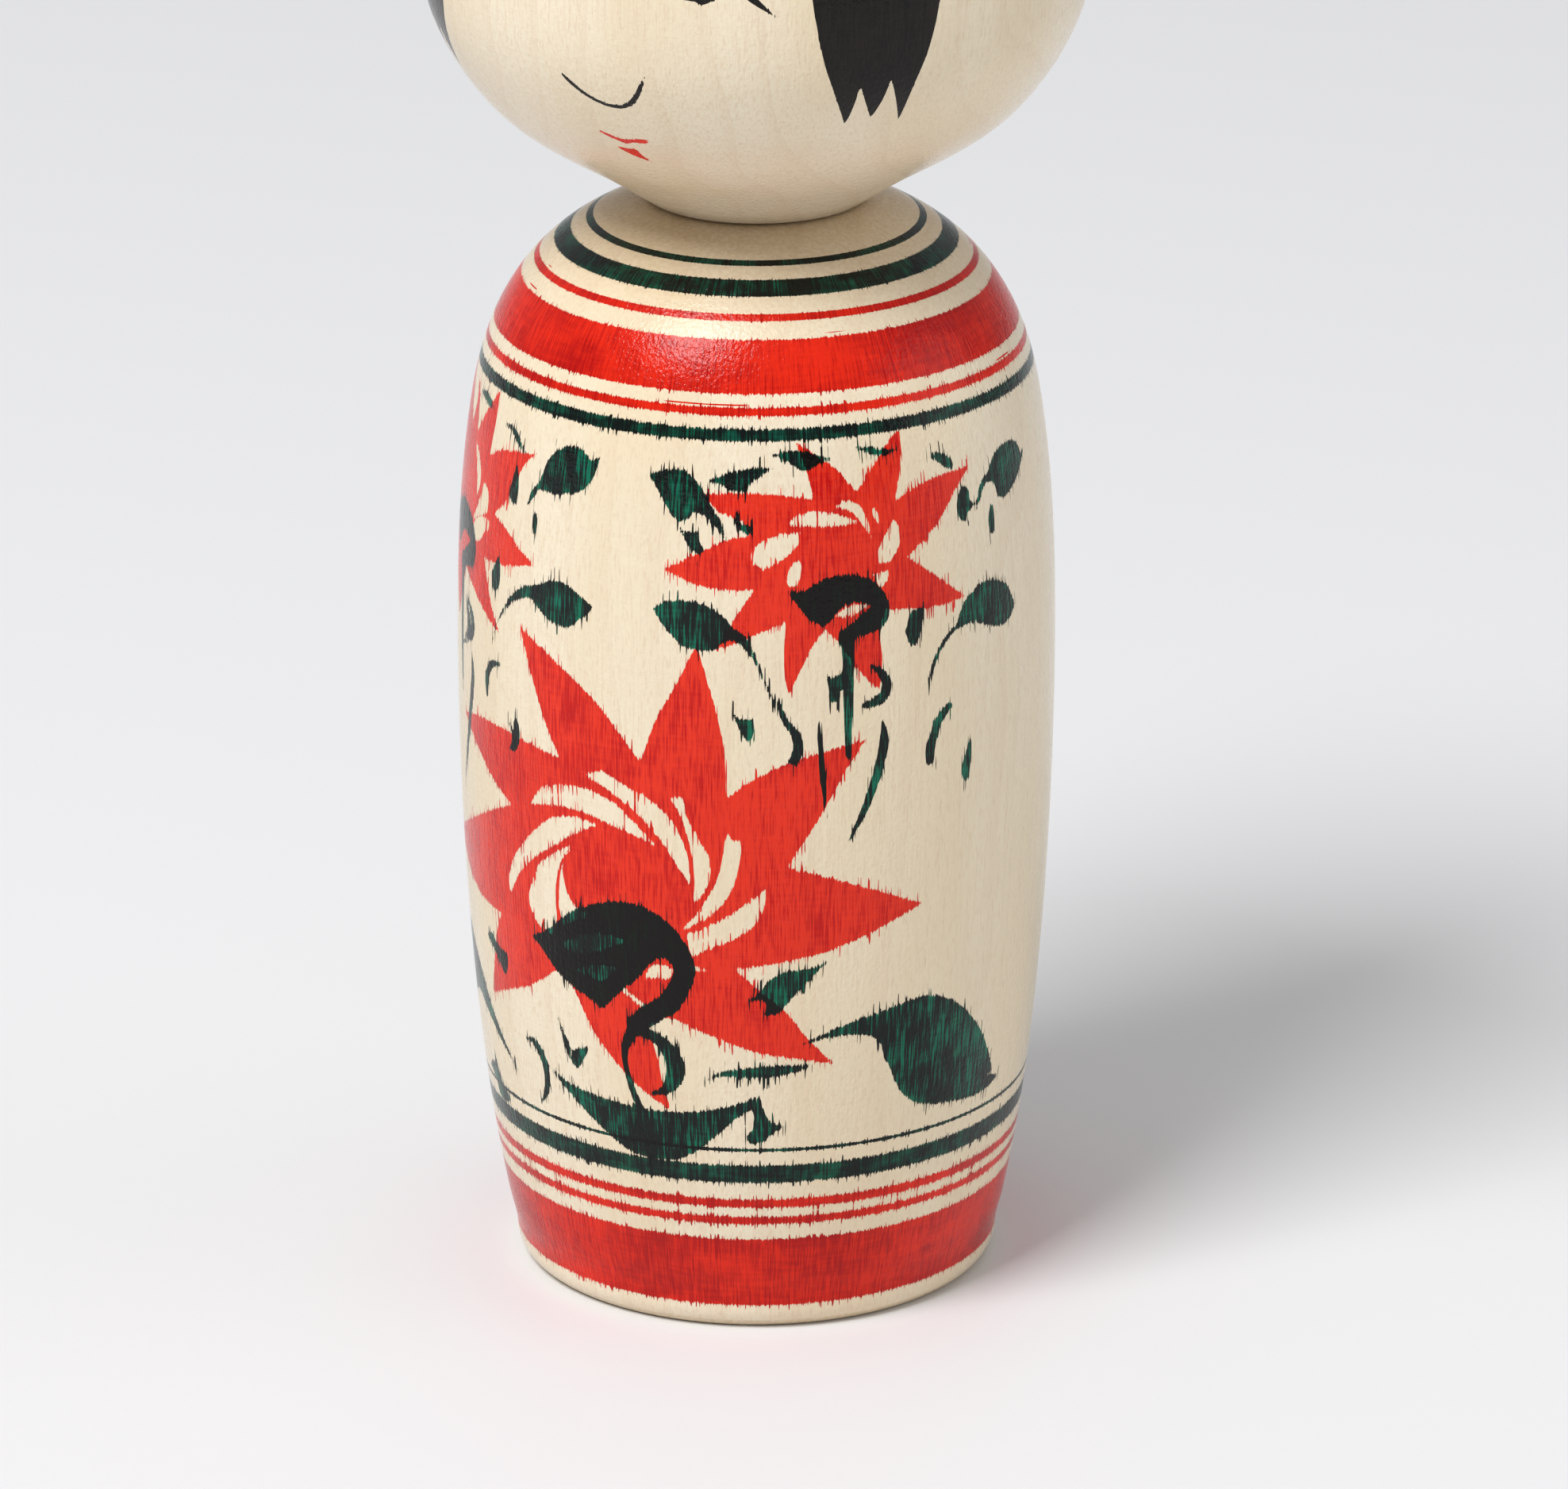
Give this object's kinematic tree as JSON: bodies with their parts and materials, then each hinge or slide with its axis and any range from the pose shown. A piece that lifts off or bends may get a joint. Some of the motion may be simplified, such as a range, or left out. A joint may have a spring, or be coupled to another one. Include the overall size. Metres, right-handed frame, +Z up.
{
  "type": "kokeshi doll",
  "caption": "Lathe-turned wooden doll: barrel body with painted chrysanthemums and rings, and a round head that turns on a tenon snapped into the body's socket.",
  "frame": {"origin": "centre of the base, on the surface that the doll stands on", "axes": "+Z up along the turned axis, which is also the axis that the head turns about; -Y is the way the painted front and the face look"},
  "size_m": [0.0708, 0.0708, 0.182],
  "materials": {
    "body_wood": "turned pale wood with brushed red, green and black dye, waxed to a soft sheen",
    "head_wood": "turned pale wood with brushed black hair, black and red features, waxed to a soft sheen"
  },
  "bodies": {
    "body": {"body": "body_wood"},
    "head": {"head": "head_wood"}
  },
  "joints": [
    {"name": "head_turn", "type": "hinge", "parent": "body", "child": "head", "pos_m": [0, 0, 0.1196], "axis": [0, 0, 1], "continuous": true}
  ]
}
